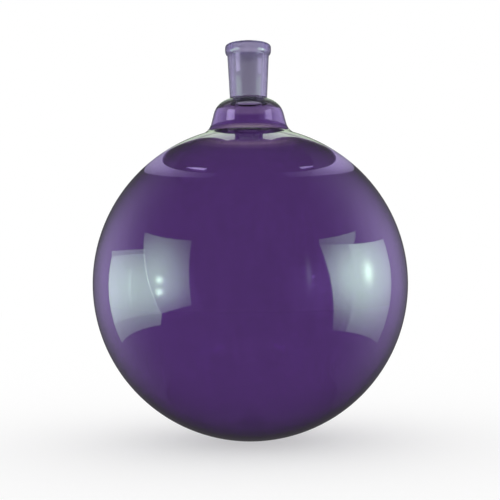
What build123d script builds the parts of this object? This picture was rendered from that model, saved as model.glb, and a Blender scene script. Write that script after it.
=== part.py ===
from build123d import *
from math import asin, cos, degrees, radians, sin, tan
import os

# Single-neck round-bottom flask in borosilicate glass, nominal 5 litres, fused into one piece:
# a blown sphere, a short flared collar with a rounded shoulder, and a 24/40 ground socket with
# a rolled bead at its mouth. The origin is the lowest point of the bulb and +Z runs up the axis
# of the neck. Sizes are in millimetres. The half section is drawn from the axis outwards.

# Bulb
bulb_diameter = 223.0
bulb_wall = 2.4

# Collar, from the top of the bulb to the foot of the socket
collar_diameter = 51.0
collar_height = 20.5
collar_draft = 14.3
collar_wall = 2.6
shoulder_radius = 14.0

# Ground socket: 24 mm across at its mouth, 40 mm long, narrowing by 1 mm in 10
socket_mouth_bore = 24.0
socket_ground_length = 40.0
socket_taper = 1 / 10
socket_wall = 3.3
socket_foot_depth = 0.5

# Rolled bead round the mouth, and how far it stands out from the wall of the socket there
bead_overhang = 1.2
bead_land = 2.4
bead_upper_radius = 2.4
bead_lower_radius = 4.2

# Fused joins and flame-rounded edges
weld_radius = 12.0
weld_inside_radius = 7.0
waist_radius = 1.5
throat_radius = 1.2
bead_root_radius = 0.6
mouth_radius = 0.8

# Heights and places that follow from the sizes above
bulb_centre = bulb_diameter / 2
crown_height = bulb_diameter + collar_height
socket_foot = crown_height - socket_foot_depth
mouth_height = socket_foot + socket_ground_length
bead_height = bead_upper_radius + bead_land + bead_lower_radius
bead_radius = socket_mouth_bore / 2 + socket_wall + bead_overhang
bead_foot = mouth_height - bead_height
draft = radians(collar_draft)
shoulder_centre = Vector(collar_diameter / 2 - shoulder_radius, crown_height - shoulder_radius)


def bore_radius(height):
    """Radius of the ground taper at a height above the origin."""
    return socket_mouth_bore / 2 - (mouth_height - height) * socket_taper / 2


def half_bulb(depth):
    """Half disc of the bulb, set in from its outside by depth."""
    with BuildSketch() as disc:
        with BuildLine():
            arc = CenterArc((0, bulb_centre), bulb_diameter / 2 - depth, -90, 180)
            Line(arc @ 1, arc @ 0)
        make_face()
    return disc.sketch


def half_collar(depth, neck_radius, neck_round):
    """Half section of the collar, set in from its outside by depth. It reaches into the bulb.

    Its crown is flat up to the socket at neck_radius. Where that flat is too narrow for the round
    at the socket's foot, the arc of the shoulder runs on into the socket instead.
    """
    radius = shoulder_radius - depth
    spring = shoulder_centre + Vector(cos(draft), sin(draft)) * radius
    foot_radius = spring.X + (spring.Y - bulb_centre) * tan(draft)
    flat = shoulder_centre.X - neck_radius
    sweep = 90 - collar_draft
    if 0 < flat < neck_round * (1 + socket_taper):
        sweep += degrees(asin((flat + neck_round) / radius))
    with BuildSketch() as collar:
        with BuildLine():
            wall = Line((foot_radius, bulb_centre), spring)
            shoulder = CenterArc(shoulder_centre, radius, collar_draft, sweep)
            crown = shoulder @ 1
            Polyline(crown, (0, crown.Y), (0, bulb_centre), wall @ 0)
        make_face()
    return collar.sketch


def half_socket(thickness, top):
    """Half section of the socket up to top, thickness outside its bore. It reaches into the collar."""
    foot = shoulder_centre.Y
    foot_radius = bore_radius(foot) + thickness
    top_radius = bore_radius(top) + thickness
    with BuildSketch() as socket:
        with BuildLine():
            Polyline((0, foot), (foot_radius, foot), (top_radius, top), (0, top), close=True)
        make_face()
    return socket.sketch


def corner_near(sketch, radius, height):
    """The corner of a section that lies nearest to a radius and a height."""
    return sketch.vertices().sort_by_distance(Vector(radius, height))[0]


# Bead: both its corners are rounded before it joins the socket, and the lower arc runs out there
with BuildSketch() as bead:
    with Locations((0, mouth_height)):
        Rectangle(bead_radius, bead_height, align=(Align.MIN, Align.MAX))
    fillet(corner_near(bead, bead_radius, mouth_height), bead_upper_radius)
    fillet(corner_near(bead, bead_radius, bead_foot), bead_lower_radius)

# Outside of the glass: bulb, collar, socket and bead, with the corners between them run smooth
waist_corner_radius = bore_radius(crown_height) + socket_wall
with BuildSketch() as outside:
    add(half_bulb(0))
    add(half_collar(0, waist_corner_radius, waist_radius))
    add(half_socket(socket_wall, mouth_height - bead_upper_radius - bead_land))
    add(bead.sketch)
    weld_foot_radius = collar_diameter / 2 + collar_height * tan(draft)
    fillet(corner_near(outside, weld_foot_radius, bulb_diameter), weld_radius)
    fillet(corner_near(outside, waist_corner_radius, crown_height), waist_radius)
    root_corner_radius = bore_radius(bead_foot) + socket_wall
    fillet(corner_near(outside, root_corner_radius, bead_foot), bead_root_radius)

# Inside of the glass: the tighter round at the weld leaves a thicker ring there, as fusing does
throat_height = crown_height - collar_wall
throat_corner_radius = bore_radius(throat_height)
with BuildSketch() as inside:
    add(half_bulb(bulb_wall))
    add(half_collar(collar_wall, throat_corner_radius, throat_radius))
    add(half_socket(0, mouth_height))
    weld_mouth_radius = weld_foot_radius - collar_wall
    fillet(corner_near(inside, weld_mouth_radius, bulb_diameter), weld_inside_radius)
    fillet(corner_near(inside, throat_corner_radius, throat_height), throat_radius)

with BuildPart() as flask:
    with BuildSketch(Plane.XZ) as section:
        add(outside.sketch)
        add(inside.sketch, mode=Mode.SUBTRACT)
        fillet(corner_near(section, socket_mouth_bore / 2, mouth_height), mouth_radius)
    revolve(axis=Axis.Z)

flask.part.label = "flask"

os.makedirs("parts", exist_ok=True)
export_step(flask.part, "parts/flask.step")
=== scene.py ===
import math

import bpy
import numpy as np
from mathutils import Matrix, Vector


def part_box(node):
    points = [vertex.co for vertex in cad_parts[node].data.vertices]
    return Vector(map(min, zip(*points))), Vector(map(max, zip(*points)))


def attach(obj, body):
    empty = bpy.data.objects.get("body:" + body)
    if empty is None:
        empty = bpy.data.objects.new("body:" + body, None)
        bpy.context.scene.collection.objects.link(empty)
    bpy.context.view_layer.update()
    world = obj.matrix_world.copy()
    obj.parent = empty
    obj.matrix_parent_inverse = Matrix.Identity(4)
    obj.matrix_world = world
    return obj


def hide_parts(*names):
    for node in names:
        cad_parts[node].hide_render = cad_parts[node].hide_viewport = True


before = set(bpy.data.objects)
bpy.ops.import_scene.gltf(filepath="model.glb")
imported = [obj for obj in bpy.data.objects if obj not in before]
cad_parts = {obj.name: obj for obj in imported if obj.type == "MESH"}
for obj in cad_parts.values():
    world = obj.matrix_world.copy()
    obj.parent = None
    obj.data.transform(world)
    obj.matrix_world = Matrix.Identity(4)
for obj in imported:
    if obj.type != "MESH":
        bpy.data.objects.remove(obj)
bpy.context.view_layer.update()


# Bulb: a gather of borosilicate glass blown into a mould to a sphere, 223 mm across with a wall
# of 2.4 mm. Its lowest point is the origin. The section of the flask is drawn here in the plane
# of X and Z, from the foot of the outside up over the mouth and down the inside again.
MM = 0.001
flask_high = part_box("flask")[1]
bulb_radius = round(flask_high.x, 4)
bulb_wall = 2.4 * MM
bulb_centre = Vector((0, bulb_radius))

point_spacing = 3 * MM
arc_step = math.radians(8)


def direction(angle):
    """Unit vector in the section at an angle from the outward direction, in radians."""
    return Vector((math.cos(angle), math.sin(angle)))


def angle_to(start, end):
    """Angle of the way from one point of the section to another."""
    return math.atan2(end.y - start.y, end.x - start.x)


def arc(centre, radius, start, end):
    """Points of an arc, both its ends included, with the angles in radians."""
    count = max(math.ceil(abs(end - start) * radius / point_spacing),
                math.ceil(abs(end - start) / arc_step))
    step = (end - start) / count
    return [centre + direction(start + i * step) * radius for i in range(count + 1)]


def straight(start, end):
    """Points between two points of the section, both left out."""
    count = math.ceil((end - start).length / point_spacing)
    return [start.lerp(end, i / count) for i in range(1, count)]


def round_centre(circle_centre, circle_radius, wall_point, wall_angle, radius, above):
    """Centre of the round that runs a circle into a straight wall, on the outward side of both.

    above picks the upper of the two places where that can be.
    """
    along = direction(wall_angle)
    start = wall_point + Vector((along.y, -along.x)) * radius - circle_centre
    middle = -start.dot(along)
    half = math.sqrt((circle_radius + radius) ** 2 - start.length_squared + middle ** 2)
    return circle_centre + start + along * (middle + (half if above else -half))


# Collar: a short flared tube with a rounded shoulder, drawn out of the top of the bulb. A thicker
# ring of glass is left where the two were fused, because the inside round is the tighter one.
collar_radius = 25.5 * MM
collar_height = 20.5 * MM
collar_wall = 2.6 * MM
collar_draft = math.radians(14.3)
shoulder_radius = 14 * MM
weld_radius = 12 * MM
weld_inside_radius = 7 * MM

crown_height = 2 * bulb_radius + collar_height
shoulder_centre = Vector((collar_radius - shoulder_radius, crown_height - shoulder_radius))
collar_angle = math.pi / 2 + collar_draft


def collar_spring(depth):
    """Where the straight wall of the collar runs into its shoulder, at a depth in the glass."""
    return shoulder_centre + direction(collar_draft) * (shoulder_radius - depth)


# Socket: a 24/40 joint, its bore ground to a taper of 1 in 10, with the wall following outside.
# It is fused on to the crown of the collar, and its rim is rolled over to a bead in the flame.
# The outline of the whole flask is closed here and turned about Z.
mouth_height = round(flask_high.z, 4)
mouth_bore_radius = 12 * MM
socket_wall = 3.3 * MM
socket_taper = 1 / 10
socket_angle = math.pi / 2 - math.atan(socket_taper / 2)
waist_radius = 1.5 * MM
throat_radius = 1.2 * MM
mouth_round = 0.8 * MM
bead_radius = 16.5 * MM
bead_land = 2.4 * MM
bead_upper_radius = 2.4 * MM
bead_lower_radius = 4.2 * MM
bead_root_radius = 0.6 * MM

socket_outward = direction(socket_angle - math.pi / 2)
bore_top = Vector((mouth_bore_radius, mouth_height))
socket_top = Vector((mouth_bore_radius + socket_wall, mouth_height))


def bore_offset_at(height, offset):
    """Point at a height, set out from the wall of the bore by offset."""
    edge = bore_top + socket_outward * offset
    along = direction(socket_angle)
    return edge + along * ((height - edge.y) / along.y)


def outside_points():
    """Outside of the section, from the foot of the bulb up to the mouth."""
    weld = round_centre(bulb_centre, bulb_radius, collar_spring(0), collar_angle, weld_radius, True)
    waist = round_centre(shoulder_centre, shoulder_radius, socket_top, socket_angle, waist_radius,
                         True)
    upper_bead = Vector((bead_radius - bead_upper_radius, mouth_height - bead_upper_radius))
    lower_bead = Vector((bead_radius - bead_lower_radius, upper_bead.y - bead_land))
    root = round_centre(lower_bead, bead_lower_radius, socket_top, socket_angle, bead_root_radius,
                        False)
    socket_inward = socket_angle - 3 * math.pi / 2
    collar_inward = collar_angle - 3 * math.pi / 2
    points = arc(bulb_centre, bulb_radius, -math.pi / 2, angle_to(bulb_centre, weld))
    points += arc(weld, weld_radius, angle_to(weld, bulb_centre), collar_inward)[1:]
    points += straight(points[-1], collar_spring(0))
    points += arc(shoulder_centre, shoulder_radius, collar_draft, angle_to(shoulder_centre, waist))
    points += arc(waist, waist_radius, angle_to(waist, shoulder_centre), socket_inward)[1:]
    root_arc = arc(root, bead_root_radius, socket_inward + 2 * math.pi, angle_to(root, lower_bead))
    points += straight(points[-1], root_arc[0]) + root_arc
    points += arc(lower_bead, bead_lower_radius, angle_to(lower_bead, root), 0)[1:]
    points += arc(upper_bead, bead_upper_radius, 0, math.pi / 2)
    return points


def inside_points():
    """Inside of the section, from the mouth down to the foot of the bulb."""
    mouth = bore_offset_at(mouth_height - mouth_round, mouth_round)
    throat_height = crown_height - collar_wall
    throat = bore_offset_at(throat_height + throat_radius, throat_radius)
    inner_radius = bulb_radius - bulb_wall
    weld = round_centre(bulb_centre, inner_radius, collar_spring(collar_wall), collar_angle,
                        weld_inside_radius, True)
    socket_inward = socket_angle + math.pi / 2
    collar_inward = collar_angle - 3 * math.pi / 2
    points = arc(mouth, mouth_round, math.pi / 2, socket_inward)
    throat_arc = arc(throat, throat_radius, socket_inward, 3 * math.pi / 2)
    points += straight(points[-1], throat_arc[0]) + throat_arc
    points += arc(shoulder_centre, shoulder_radius - collar_wall, math.pi / 2, collar_draft)
    weld_arc = arc(weld, weld_inside_radius, collar_inward, angle_to(weld, bulb_centre))
    points += straight(points[-1], weld_arc[0]) + weld_arc
    points += arc(bulb_centre, inner_radius, angle_to(bulb_centre, weld), -math.pi / 2)[1:]
    return points


section = outside_points() + inside_points()
ring_count = 240


def revolved(name, points, count):
    """Closed mesh of a section turned about Z. Its first and last points lie on the axis."""
    rings = points[1:-1]
    turn = np.arange(count) * 2 * math.pi / count
    radii = np.array([p.x for p in rings])[:, None]
    heights = np.array([p.y for p in rings])[:, None] + 0 * turn
    corners = np.stack([radii * np.cos(turn), radii * np.sin(turn), heights], axis=2).reshape(-1, 3)
    foot, top = len(corners), len(corners) + 1
    vertices = [tuple(c) for c in corners] + [(0, 0, points[0].y), (0, 0, points[-1].y)]
    faces = []
    for j in range(count):
        k = (j + 1) % count
        last = (len(rings) - 1) * count
        faces.append((foot, k, j))
        faces.append((last + j, last + k, top))
        for i in range(len(rings) - 1):
            a, b = i * count, (i + 1) * count
            faces.append((a + j, a + k, b + k, b + j))
    mesh = bpy.data.meshes.new(name)
    mesh.from_pydata(vertices, [], faces)
    mesh.shade_smooth()
    piece = bpy.data.objects.new(name, mesh)
    bpy.context.scene.collection.objects.link(piece)
    return piece


flask = revolved("flask_glass", section, ring_count)
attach(flask, "root")
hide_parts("flask")


# Blown glass: borosilicate, clear and flame-polished, with a painted violet that stands in for a
# violet backdrop seen through it, so that two walls of the bulb show a white ground as a deep
# violet.
# The drawn socket is painted paler. A pale greenish band at the thick ring of the weld and a pale
# shoulder under the waist are painted highlights. The surface is slightly wavy, and faint cords of
# denser glass run up the wall.
def linear(code):
    """Linear colour of an sRGB hex value."""
    levels = [int(code[i:i + 2], 16) / 255 for i in (1, 3, 5)]
    return [v / 12.92 if v <= 0.04045 else ((v + 0.055) / 1.055) ** 2.4 for v in levels] + [1]


def add_node(tree, kind, settings, inputs):
    """Adds a node with its own settings, and its sockets set to a value or linked to an output."""
    node = tree.nodes.new(kind)
    for name, value in settings.items():
        setattr(node, name, value)
    for socket, value in inputs.items():
        if isinstance(value, bpy.types.NodeSocket):
            tree.links.new(value, node.inputs[socket])
        else:
            node.inputs[socket].default_value = value
    return node


glass_ior = 1.473
# Heights up the flask, and the colour that one wall gives to white light there. All of it is
# painted: the violet stands in for a backdrop seen through the glass, and the pale bands at the
# weld and the shoulder are painted highlights
painted_tint_stops = [
    (200 * MM, "#8F73A8"),
    (215.6 * MM, "#8F73A8"),
    # Pale band at the thick ring of the weld: a painted highlight
    (216.4 * MM, "#D0CEC8"),
    (218.8 * MM, "#D0CEC8"),
    (219.8 * MM, "#8F73A8"),
    (235.5 * MM, "#8F73A8"),
    # Pale from the shoulder under the waist upwards: a painted highlight on the shoulder, running
    # on into the socket's painted pale
    (237 * MM, "#BAB5C2"),
    (246 * MM, "#B4B0C1"),
    (273 * MM, "#B4B0C1"),
    (275 * MM, "#9890B0"),
    (283 * MM, "#9890B0"),
]
cord_spacing = 5 * MM
cord_length = 70 * MM
cord_shade = 0.04
noise_low, noise_high = 0.25, 0.75
wave_length = 30 * MM
wave_height = 0.12 * MM


def painted_glass_tint(tree, place):
    """Painted colour of one wall of the glass by its height up the flask, uneven with the cords: a
    violet standing in for a backdrop seen through, with painted highlights at the weld and the
    shoulder.
    """
    height = add_node(tree, "ShaderNodeSeparateXYZ", {}, {"Vector": place}).outputs["Z"]
    low, high = painted_tint_stops[0][0], painted_tint_stops[-1][0]
    share = add_node(tree, "ShaderNodeMapRange", {}, {
        "Value": height, "From Min": low, "From Max": high})
    ramp = add_node(tree, "ShaderNodeValToRGB", {}, {"Fac": share.outputs["Result"]})
    elements = ramp.color_ramp.elements
    for stop, code in painted_tint_stops[1:-1]:
        elements.new((stop - low) / (high - low))
    for element, (stop, code) in zip(elements, painted_tint_stops):
        element.color = linear(code)
    drawn = add_node(tree, "ShaderNodeMapping", {}, {
        "Vector": place, "Scale": (1 / cord_spacing, 1 / cord_spacing, 1 / cord_length)})
    cords = add_node(tree, "ShaderNodeTexNoise", {}, {
        "Vector": drawn.outputs[0], "Scale": 1.0, "Detail": 1.0})
    shade = add_node(tree, "ShaderNodeMapRange", {}, {
        "Value": cords.outputs["Fac"], "From Min": noise_low, "From Max": noise_high,
        "To Min": 1 - cord_shade, "To Max": 1 + cord_shade})
    return add_node(tree, "ShaderNodeVectorMath", {"operation": "SCALE"}, {
        0: ramp.outputs["Color"], "Scale": shade.outputs["Result"]}).outputs[0]


def borosilicate(name, roughness, relief_size, relief_depth, relief_detail):
    """Glass in the painted tint, with a surface of the given roughness and relief."""
    glass = bpy.data.materials.new(name)
    glass.use_nodes = True
    tree = glass.node_tree
    shader = tree.nodes["Principled BSDF"]
    shader.inputs["Roughness"].default_value = roughness
    shader.inputs["IOR"].default_value = glass_ior
    shader.inputs["Transmission Weight"].default_value = 1.0
    place = add_node(tree, "ShaderNodeTexCoord", {}, {}).outputs["Object"]
    tree.links.new(painted_glass_tint(tree, place), shader.inputs["Base Color"])
    relief = add_node(tree, "ShaderNodeTexNoise", {}, {
        "Vector": place, "Scale": 1 / relief_size, "Detail": relief_detail})
    raised = add_node(tree, "ShaderNodeBump", {}, {
        "Height": relief.outputs["Fac"], "Distance": relief_depth})
    tree.links.new(raised.outputs["Normal"], shader.inputs["Normal"])
    return glass


# The violet of this glass is painted, standing in for a backdrop seen through it
blown_glass = borosilicate("blown_borosilicate_painted_violet", 0.0, wave_length, wave_height, 0.0)
flask.data.materials.append(blown_glass)


# Ground joint: the bore of the socket, ground matt with fine abrasive so that a cone seals in it.
# The grit leaves a frosted skin, drawn at 0.8 mm here because the real grain is too fine to show.
ground_roughness = 0.45
grain_size = 0.8 * MM
grain_depth = 0.02 * MM
grain_detail = 2.0
ground_glass = borosilicate("ground_borosilicate", ground_roughness, grain_size, grain_depth,
                            grain_detail)
flask.data.materials.append(ground_glass)

ground_foot = 246 * MM
ground_top = mouth_height - 1 * MM
ground_skin = 1 * MM
for face in flask.data.polygons:
    centre = face.center
    in_bore = math.hypot(centre.x, centre.y) < bore_offset_at(centre.z, ground_skin).x
    if in_bore and ground_foot < centre.z < ground_top:
        face.material_index = 1


# Studio: a white ground all round, seen by the camera and through the glass. A ray that the
# glass has reflected sees a dim room instead, lit by the windows of the next section.
world = bpy.data.worlds.new("studio")
world.use_nodes = True
bpy.context.scene.world = world
room_level = 0.08


def reflected_rays(tree):
    """1 for a ray that has been mirrored by the glass on its way, 0 for the others."""
    path = add_node(tree, "ShaderNodeLightPath", {}, {}).outputs
    return add_node(tree, "ShaderNodeMath", {"operation": "MINIMUM"}, {
        0: path["Is Glossy Ray"], 1: path["Glossy Depth"]}).outputs[0]


tree = world.node_tree
seen = add_node(tree, "ShaderNodeMapRange", {}, {
    "Value": reflected_rays(tree), "To Min": 1.0, "To Max": room_level})
tree.links.new(seen.outputs["Result"], tree.nodes["Background"].inputs["Strength"])
tree.nodes["Background"].inputs["Color"].default_value = (1, 1, 1, 1)

# The floor of the studio, which keeps the flask's shadow and gives way to the room in reflections
floor_half = 3.0
floor_albedo = 0.5
mesh = bpy.data.meshes.new("floor")
corners = [(-floor_half, -floor_half, 0), (floor_half, -floor_half, 0), (floor_half, floor_half, 0),
           (-floor_half, floor_half, 0)]
mesh.from_pydata(corners, [], [(0, 1, 2, 3)])
floor = bpy.data.objects.new("floor", mesh)
bpy.context.scene.collection.objects.link(floor)
floor.visible_glossy = False
paint = bpy.data.materials.new("matt_white_floor")
paint.use_nodes = True
tree = paint.node_tree
path = add_node(tree, "ShaderNodeLightPath", {}, {})
seen = add_node(tree, "ShaderNodeMath", {"operation": "MAXIMUM"}, {
    0: path.outputs["Is Camera Ray"], 1: path.outputs["Is Transmission Ray"]})
glow = add_node(tree, "ShaderNodeMath", {"operation": "MULTIPLY"}, {
    0: seen.outputs[0], 1: 1 - floor_albedo})
shader = tree.nodes["Principled BSDF"]
shader.inputs["Base Color"].default_value = (floor_albedo, floor_albedo, floor_albedo, 1)
shader.inputs["Roughness"].default_value = 0.9
shader.inputs["Specular IOR Level"].default_value = 0.0
shader.inputs["Emission Color"].default_value = (1, 1, 1, 1)
tree.links.new(glow.outputs[0], shader.inputs["Emission Strength"])
clear = add_node(tree, "ShaderNodeBsdfTransparent", {}, {})
unmirrored = add_node(tree, "ShaderNodeMixShader", {}, {
    0: reflected_rays(tree), 1: shader.outputs["BSDF"], 2: clear.outputs[0]})
tree.links.new(unmirrored.outputs[0], tree.nodes["Material Output"].inputs["Surface"])
floor.data.materials.append(paint)


# Windows: the daylight that the glass mirrors, with the walls beside it and a few lights behind.
# Each is a card that only mirrored rays see, standing on a shell round the bulb, collar or neck.
# Its directions are in degrees: azimuth from the camera's side, and elevation.
daylight = "#D3FFD6"
wall_light = "#DDD2FF"
back_light = "#E9FFE0"
# A shell is the height of its middle, its radius, and how far from the glass its cards still show
room_shell = (bulb_radius, 0.45, 10.0)
back_shell = (bulb_radius, 2.0, 10.0)
collar_shell = (229 * MM, 0.1, 0.1)
neck_shell = (260 * MM, 0.1, 0.105)
card_squares = 16
card_step = 0.2 * MM
# A card is its shell, its colour, its glow, and its corners clockwise from the top left. A glow is
# its level, the direction of its middle, and how far it spreads in azimuth and elevation
cards = {
    "left_far_pane": (room_shell, daylight, (8.0, -63, -1, 50, 19),
                      [(-107, 11), (-72.5, 15.5), (-58.5, -16), (-109, -15.5)]),
    "left_far_pane_head": (room_shell, daylight, (5.0, -63, -1, 50, 19),
                           [(-109.7, 12.8), (-73.5, 17.7), (-72.5, 15.5), (-107, 11)]),
    "left_far_pane_foot": (room_shell, daylight, (6.4, -63, -1, 50, 19),
                           [(-109, -15.5), (-58.5, -16), (-61.4, -22), (-109, -23.3)]),
    "left_near_pane": (room_shell, daylight, (8.2, -61, 1, 21, 22),
                       [(-78.4, 25.9), (-38.6, 24.4), (-37.3, 1), (-66.6, 1)]),
    "left_near_pane_foot": (room_shell, daylight, (8.2, -61, 1, 21, 14),
                            [(-66.6, 1), (-37.3, 1), (-36.5, -12.2), (-58.5, -16)]),
    "left_lamp_upper": (room_shell, daylight, (14, -58.1, 2.1, 2.6, 1.8),
                        [(-64, 7), (-52, 7), (-52, -2.5), (-64, -2.5)]),
    "left_lamp_lower": (room_shell, daylight, (14, -58.3, -4.3, 2.6, 1.8),
                        [(-64, 0.5), (-52, 0.5), (-52, -9), (-64, -9)]),
    "left_streak": (room_shell, daylight, (1.8, -83.5, 0, 1.8, 6),
                    [(-88, 12), (-79, 12), (-79, -12), (-88, -12)]),
    "right_near_pane": (room_shell, daylight, (10, 68, 3, 22, 18),
                        [(45.6, 21), (68, 19.6), (68, -25.7), (56.4, -26.1)]),
    "right_far_pane": (room_shell, daylight, (10, 68, 4, 30, 22),
                       [(68, 19.6), (106, 17.1), (107.2, -25.1), (68, -25.7)]),
    "right_pane_head": (room_shell, daylight, (2.2, 68, 22, 25, 30),
                        [(46.5, 24), (79, 25.5), (73, 19.3), (45.6, 21)]),
    "right_lamp": (room_shell, daylight, (9, 81, 4.5, 4.5, 5),
                   [(71, 17), (91, 17), (91, -8), (71, -8)]),
    "right_streak": (room_shell, daylight, (1.0, 36, 5, 1.6, 7),
                     [(32, 18), (40, 18), (40, -8), (32, -8)]),
    "left_wall": (room_shell, wall_light, (1.5, -103, 3, 26, 32),
                  [(-160, 55), (-50, 55), (-50, -50), (-160, -50)]),
    "right_wall": (room_shell, wall_light, (1.8, 98, 8, 28, 34),
                   [(40, 60), (160, 60), (160, -50), (40, -50)]),
    "back_light_low": (back_shell, back_light, (1.2, 180, 27, 30, 10),
                       [(166.5, 35), (193.5, 35), (193.5, 19), (166.5, 19)]),
    "back_light_left": (back_shell, back_light, (1.7, -171, 45, 30, 30),
                        [(-176, 56), (-166.5, 56), (-166.5, 35), (-176, 35)]),
    "back_light_right": (back_shell, back_light, (1.7, 171, 45, 30, 30),
                         [(166.5, 56), (176, 56), (176, 35), (166.5, 35)]),
    "collar_light_left": (collar_shell, wall_light, (6.5, -57, 28, 20, 20),
                          [(-69, 31.5), (-42, 31.5), (-42, 24), (-69, 24)]),
    "collar_light_right": (collar_shell, wall_light, (4, 62, 27, 20, 20),
                           [(50, 30), (74, 30), (74, 23), (50, 23)]),
    "neck_light_left": (neck_shell, wall_light, (1.6, -90, 5, 42, 30),
                        [(-165, 30), (-30, 30), (-30, -30), (-165, -30)]),
    "neck_light_right": (neck_shell, wall_light, (1.8, 90, 5, 40, 30),
                         [(30, 30), (165, 30), (165, -30), (30, -30)]),
}


def card_light(code, reach):
    """Light of a card as far as it reaches, at the level its points carry, over what is behind."""
    light = bpy.data.materials.new("card_light")
    light.use_nodes = True
    tree = light.node_tree
    tree.nodes.remove(tree.nodes["Principled BSDF"])
    level = add_node(tree, "ShaderNodeAttribute", {"attribute_name": "level"}, {}).outputs["Fac"]
    length = add_node(tree, "ShaderNodeLightPath", {}, {}).outputs["Ray Length"]
    near = add_node(tree, "ShaderNodeMath", {"operation": "LESS_THAN"}, {0: length, 1: reach})
    mirrored = add_node(tree, "ShaderNodeMath", {"operation": "MULTIPLY"}, {
        0: near.outputs[0], 1: reflected_rays(tree)})
    seen = add_node(tree, "ShaderNodeMath", {"operation": "MULTIPLY"}, {
        0: level, 1: mirrored.outputs[0]})
    clear = add_node(tree, "ShaderNodeBsdfTransparent", {}, {})
    emit = add_node(tree, "ShaderNodeEmission", {}, {
        "Color": linear(code), "Strength": seen.outputs[0]})
    both = add_node(tree, "ShaderNodeAddShader", {}, {0: clear.outputs[0], 1: emit.outputs[0]})
    tree.links.new(both.outputs[0], tree.nodes["Material Output"].inputs["Surface"])
    return light


for depth, (name, (shell, code, glow, corners)) in enumerate(cards.items()):
    level, glow_azimuth, glow_elevation, width, height = glow
    shell_height, shell_radius, reach = shell
    shell_middle = Vector((0, 0, shell_height))
    card_radius = shell_radius + depth * card_step
    top_left, top_right, low_right, low_left = [Vector(c) for c in corners]
    angles = []
    for i in range(card_squares + 1):
        left = top_left.lerp(low_left, i / card_squares)
        right = top_right.lerp(low_right, i / card_squares)
        angles += [left.lerp(right, j / card_squares) for j in range(card_squares + 1)]
    places = []
    for azimuth, elevation in angles:
        a, e = math.radians(azimuth), math.radians(elevation)
        towards = Vector((math.sin(a) * math.cos(e), -math.cos(a) * math.cos(e), math.sin(e)))
        places.append(shell_middle + towards * card_radius)
    row = card_squares + 1
    starts = [i * row + j for i in range(card_squares) for j in range(card_squares)]
    mesh = bpy.data.meshes.new(name)
    mesh.from_pydata(places, [], [(s, s + 1, s + row + 1, s + row) for s in starts])
    levels = mesh.attributes.new("level", "FLOAT", "POINT")
    for point, (azimuth, elevation) in zip(levels.data, angles):
        point.value = level * math.exp(-((azimuth - glow_azimuth) / width) ** 2
                                       - ((elevation - glow_elevation) / height) ** 2)
    card = bpy.data.objects.new(name, mesh)
    bpy.context.scene.collection.objects.link(card)
    card.visible_camera = card.visible_diffuse = card.visible_shadow = False
    card.data.materials.append(card_light(code, reach))


# Camera: level with the middle of the bulb, 0.75 m from it, tipped up a little and rolled by
# half a degree, because the photographed neck leans that much to the left.
# The picture's size, the focal length and the drop are in pixels of the photograph
picture_size = 500
focal_length = 1050
bulb_centre_drop = 33
camera_distance = 751 * MM
camera_roll = math.radians(0.57)
sensor_width = 36
lens = bpy.data.cameras.new("camera")
lens.sensor_width = sensor_width
lens.lens = sensor_width * focal_length / picture_size
camera = bpy.data.objects.new("camera", lens)
bpy.context.scene.collection.objects.link(camera)
pitch = math.atan2(bulb_centre_drop, focal_length)
turned = Matrix.Rotation(math.pi / 2 + pitch, 4, "X") @ Matrix.Rotation(-camera_roll, 4, "Z")
camera.matrix_world = Matrix.Translation((0, -camera_distance, bulb_radius)) @ turned
bpy.context.scene.camera = camera
bpy.context.scene.view_settings.view_transform = "Standard"
